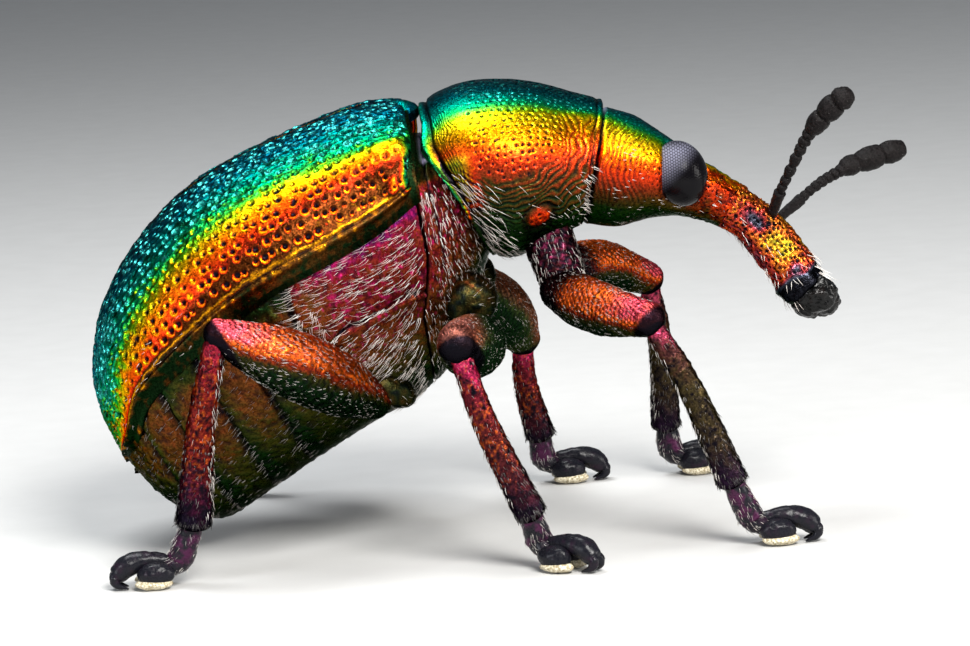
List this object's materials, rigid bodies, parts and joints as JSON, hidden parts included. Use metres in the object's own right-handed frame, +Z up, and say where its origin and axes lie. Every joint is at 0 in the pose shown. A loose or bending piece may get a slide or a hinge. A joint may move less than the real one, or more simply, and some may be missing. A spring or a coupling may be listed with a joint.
{
  "type": "leaf-rolling weevil",
  "caption": "Still, life-size model of a metallic leaf-rolling weevil standing on its feet, with rounded wing cases, a curved snout and clubbed feelers.",
  "frame": {"origin": "on the floor, under the middle of the animal's box", "axes": "+X the way the head points, +Y the animal's left, +Z up"},
  "size_m": [0.0084, 0.0054, 0.0045],
  "materials": {
    "wing_case": "metallic pitted cuticle, blue green over the back to gold and red on the sides",
    "pronotum": "metallic pitted cuticle, teal above to gold and red on the sides",
    "scutellum": "metallic cuticle, blue green",
    "head": "metallic finely wrinkled cuticle, green above to gold and copper",
    "rostrum": "metallic coarsely pitted cuticle, copper red and gold",
    "eye": "glossy near-black, finely faceted",
    "mandible": "glossy black horn",
    "antenna": "black-brown, finely downy",
    "thorax": "metallic maroon cuticle with pale lying hairs",
    "abdomen": "metallic red-brown and olive cuticle with fine pale hairs",
    "coxa": "dark metallic red cuticle with pale hairs",
    "femur": "metallic red and orange cuticle, dark at the knee",
    "tibia": "metallic magenta to dark red cuticle with short bristles",
    "tarsus": "glossy black with a violet gleam, pale pads"
  },
  "bodies": {
    "root": {"pronotum": "pronotum", "head": "head", "rostrum": "rostrum", "eye_right": "eye", "eye_left": "eye", "mandible_right": "mandible", "mandible_left": "mandible", "antenna_right_scape": "antenna", "antenna_right_funicle": "antenna", "antenna_right_club": "antenna", "antenna_left_scape": "antenna", "antenna_left_funicle": "antenna", "antenna_left_club": "antenna", "scutellum": "scutellum", "elytron_right": "wing_case", "elytron_left": "wing_case", "mesothorax": "thorax", "metathorax": "thorax", "abdomen": "abdomen", "pygidium": "abdomen", "coxa_front_right": "coxa", "coxa_front_left": "coxa", "coxa_middle_right": "coxa", "coxa_middle_left": "coxa", "coxa_hind_right": "coxa", "coxa_hind_left": "coxa", "femur_front_right": "femur", "femur_front_left": "femur", "femur_middle_right": "femur", "femur_middle_left": "femur", "femur_hind_right": "femur", "femur_hind_left": "femur", "tibia_front_right": "tibia", "tibia_front_left": "tibia", "tibia_middle_right": "tibia", "tibia_middle_left": "tibia", "tibia_hind_right": "tibia", "tibia_hind_left": "tibia", "tarsus_front_right": "tarsus", "tarsus_front_left": "tarsus", "tarsus_middle_right": "tarsus", "tarsus_middle_left": "tarsus", "tarsus_hind_right": "tarsus", "tarsus_hind_left": "tarsus"}
  },
  "joints": []
}
